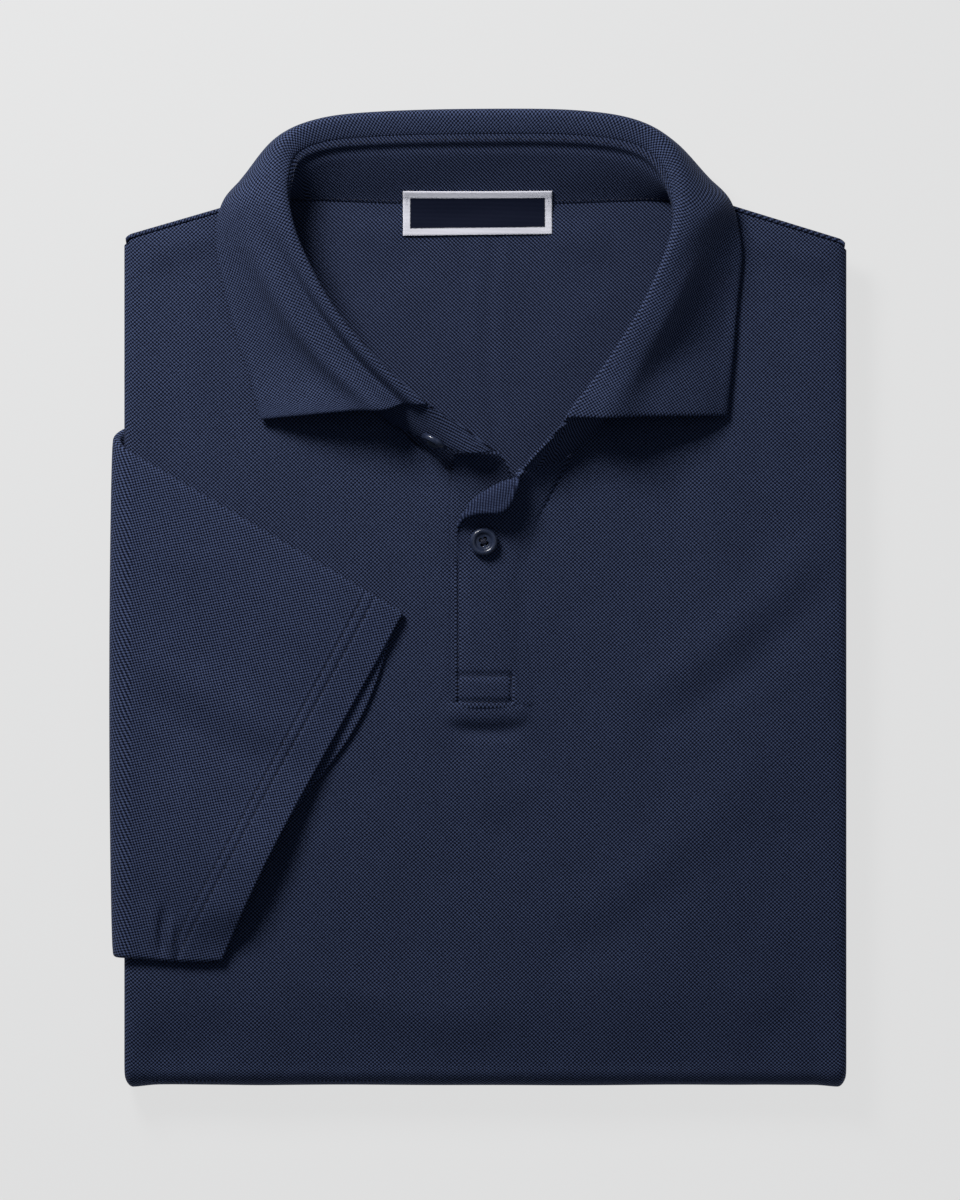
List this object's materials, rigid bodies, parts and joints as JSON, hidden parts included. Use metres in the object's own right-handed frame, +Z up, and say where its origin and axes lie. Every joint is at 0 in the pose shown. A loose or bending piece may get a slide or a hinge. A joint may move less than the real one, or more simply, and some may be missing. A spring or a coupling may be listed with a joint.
{
  "type": "folded polo shirt",
  "caption": "Short-sleeved knitted polo shirt, folded flat and lying face up, with a turned-down collar on a stand, an open placket top and a sleeve across the front.",
  "frame": {"origin": "centre of the folded shirt's footprint, on the surface that it lies on", "axes": "+Y from the tail fold to the collar, +Z up out of the front, +X towards the wearer's left side"},
  "size_m": [0.3005, 0.4012, 0.0393],
  "materials": {
    "body_cloth": "navy cotton pique knit, matt",
    "body_inner": "navy cotton pique knit, inner side, matt",
    "hidden_cloth": "navy cotton pique knit, matt",
    "collar_cloth": "navy cotton pique knit on a light fusing, matt",
    "sleeve_cloth": "navy cotton pique knit, matt",
    "woven_label": "blank navy woven label with a white woven border, satin",
    "button_plastic": "navy polyester, polished"
  },
  "bodies": {
    "root": {"front": "body_cloth", "back": "body_inner", "folded_layers": "hidden_cloth", "collar_stand": "collar_cloth", "collar_leaf": "collar_cloth", "placket_under": "body_cloth", "placket_upper": "body_cloth", "sleeve_right": "sleeve_cloth", "label": "woven_label", "button_placket": "button_plastic", "button_collar": "button_plastic"}
  },
  "joints": []
}
